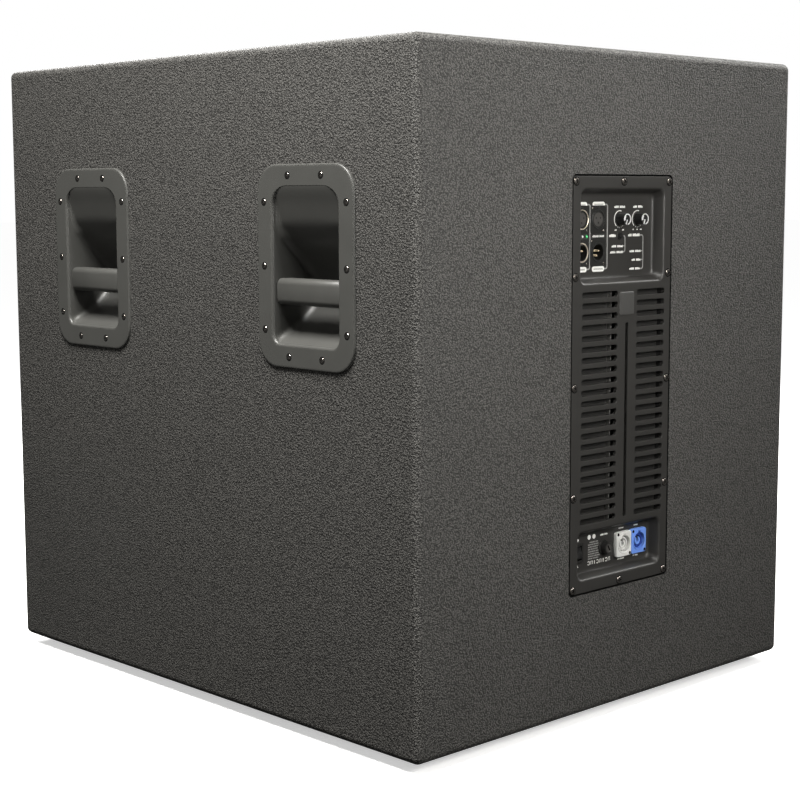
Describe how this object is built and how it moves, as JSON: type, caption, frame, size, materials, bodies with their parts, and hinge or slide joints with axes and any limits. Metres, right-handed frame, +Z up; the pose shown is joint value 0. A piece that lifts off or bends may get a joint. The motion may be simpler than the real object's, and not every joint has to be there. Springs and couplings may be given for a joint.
{
  "type": "powered subwoofer loudspeaker",
  "caption": "Powered subwoofer: coated plywood cabinet with recessed bar handles, steel grille, long-travel driver and a rear amplifier module with control and mains bays.",
  "frame": {"origin": "centre of the bounding box in X and Y, at the soles of the rubber feet in Z", "axes": "+Z up, the grille faces -Y, the amplifier panel faces +Y, handles on the +X and -X sides"},
  "size_m": [0.616, 0.7132, 0.71],
  "materials": {
    "coated_wood": "birch plywood under a sprayed pebble-texture polyurea coating, warm dark grey, matte",
    "black_wood": "plywood sprayed matte black",
    "bare_wood": "bare birch plywood",
    "grille_steel": "perforated steel, black powder coat",
    "foot_rubber": "moulded black rubber",
    "moulded_plastic": "glass-filled nylon, fine grain",
    "handle_plastic": "moulded ABS, smooth matte, dark grey",
    "basket_cast": "die-cast, black paint",
    "surround_rubber": "doped cloth half-roll",
    "cone_paper": "pressed paper pulp, fibrous",
    "coil_copper": "copper winding on a former",
    "spider_cloth": "resin-doped cotton, corrugated",
    "bare_steel": "turned steel, zinc plated",
    "ferrite": "sintered ferrite ring",
    "panel_metal": "powder-coated metal, satin dark grey",
    "screw_nickel": "nickel-plated pan-head screw",
    "zinc_steel": "zinc-plated sheet",
    "heat_sink_alu": "extruded aluminium, as drawn",
    "circuit_board": "glass-epoxy board with solder mask",
    "transformer_core": "wound toroidal core",
    "socket_plastic": "black moulded nylon",
    "connector_white": "light grey-white moulded nylon",
    "connector_blue": "blue moulded nylon",
    "knob_plastic": "black moulded knob with a bright cap ring",
    "led_lens": "green tinted lens"
  },
  "bodies": {
    "cabinet": {"side_panel_right": "coated_wood", "side_panel_left": "coated_wood", "top_panel": "coated_wood", "bottom_panel": "coated_wood", "rear_panel": "coated_wood", "front_baffle": "black_wood", "port_shelf": "bare_wood", "front_grille": "grille_steel", "rubber_foot_1": "foot_rubber", "rubber_foot_2": "foot_rubber", "rubber_foot_3": "foot_rubber", "rubber_foot_4": "foot_rubber", "pole_socket": "moulded_plastic", "handle_1": "handle_plastic", "handle_2": "handle_plastic", "handle_3": "handle_plastic", "handle_4": "handle_plastic", "woofer_basket": "basket_cast", "woofer_surround": "surround_rubber", "woofer_spider": "spider_cloth", "woofer_top_plate": "bare_steel", "woofer_magnet": "ferrite", "woofer_pole_plate": "bare_steel", "amp_panel": "panel_metal", "panel_screw_1": "screw_nickel", "panel_screw_2": "screw_nickel", "panel_screw_3": "screw_nickel", "panel_screw_4": "screw_nickel", "panel_screw_5": "screw_nickel", "panel_screw_6": "screw_nickel", "panel_screw_7": "screw_nickel", "panel_screw_8": "screw_nickel", "panel_screw_9": "screw_nickel", "panel_screw_10": "screw_nickel", "panel_screw_11": "screw_nickel", "panel_screw_12": "screw_nickel", "amp_chassis": "zinc_steel", "heat_sink": "heat_sink_alu", "amp_board": "circuit_board", "power_transformer": "transformer_core", "xlr_input_1": "socket_plastic", "xlr_link_1": "socket_plastic", "xlr_input_2": "socket_plastic", "xlr_link_2": "socket_plastic", "mains_link_outlet": "connector_white", "mains_inlet": "connector_blue", "fuse_holder": "socket_plastic", "power_switch_housing": "socket_plastic", "level_pot": "bare_steel", "lowpass_pot": "bare_steel", "phase_switch": "socket_plastic", "status_led": "led_lens"},
    "cone_assembly": {"woofer_cone": "cone_paper", "woofer_dust_cap": "cone_paper", "woofer_voice_coil": "coil_copper"},
    "level_knob": {"level_knob": "knob_plastic"},
    "lowpass_knob": {"lowpass_knob": "knob_plastic"},
    "phase_button": {"phase_button": "socket_plastic"},
    "power_rocker": {"power_rocker": "socket_plastic"},
    "fuse_cap": {"fuse_cap": "socket_plastic"}
  },
  "joints": [
    {"name": "cone_travel", "type": "slide", "parent": "cabinet", "child": "cone_assembly", "axis": [0, -1, 0], "range_m": [-0.01, 0.01], "stiffness_N_per_m": 5000, "deforming": ["woofer_surround", "woofer_spider"]},
    {"name": "level_knob_turn", "type": "hinge", "parent": "cabinet", "child": "level_knob", "pos_m": [-0.009, 0.3424, 0.534], "axis": [0, 1, 0], "range_deg": [-150, 150]},
    {"name": "lowpass_knob_turn", "type": "hinge", "parent": "cabinet", "child": "lowpass_knob", "pos_m": [-0.039, 0.3424, 0.534], "axis": [0, 1, 0], "range_deg": [-150, 150]},
    {"name": "phase_button_press", "type": "slide", "parent": "cabinet", "child": "phase_button", "axis": [0, -1, 0], "range_m": [0, 0.0015], "stiffness_N_per_m": 300},
    {"name": "power_rocker_tilt", "type": "hinge", "parent": "cabinet", "child": "power_rocker", "pos_m": [0.054, 0.3404, 0.1815], "axis": [-1, 0, 0], "range_deg": [0, 14]},
    {"name": "fuse_cap_turn", "type": "hinge", "parent": "cabinet", "child": "fuse_cap", "pos_m": [0.012, 0.3424, 0.1825], "axis": [0, 1, 0], "range_deg": [0, 60]}
  ]
}
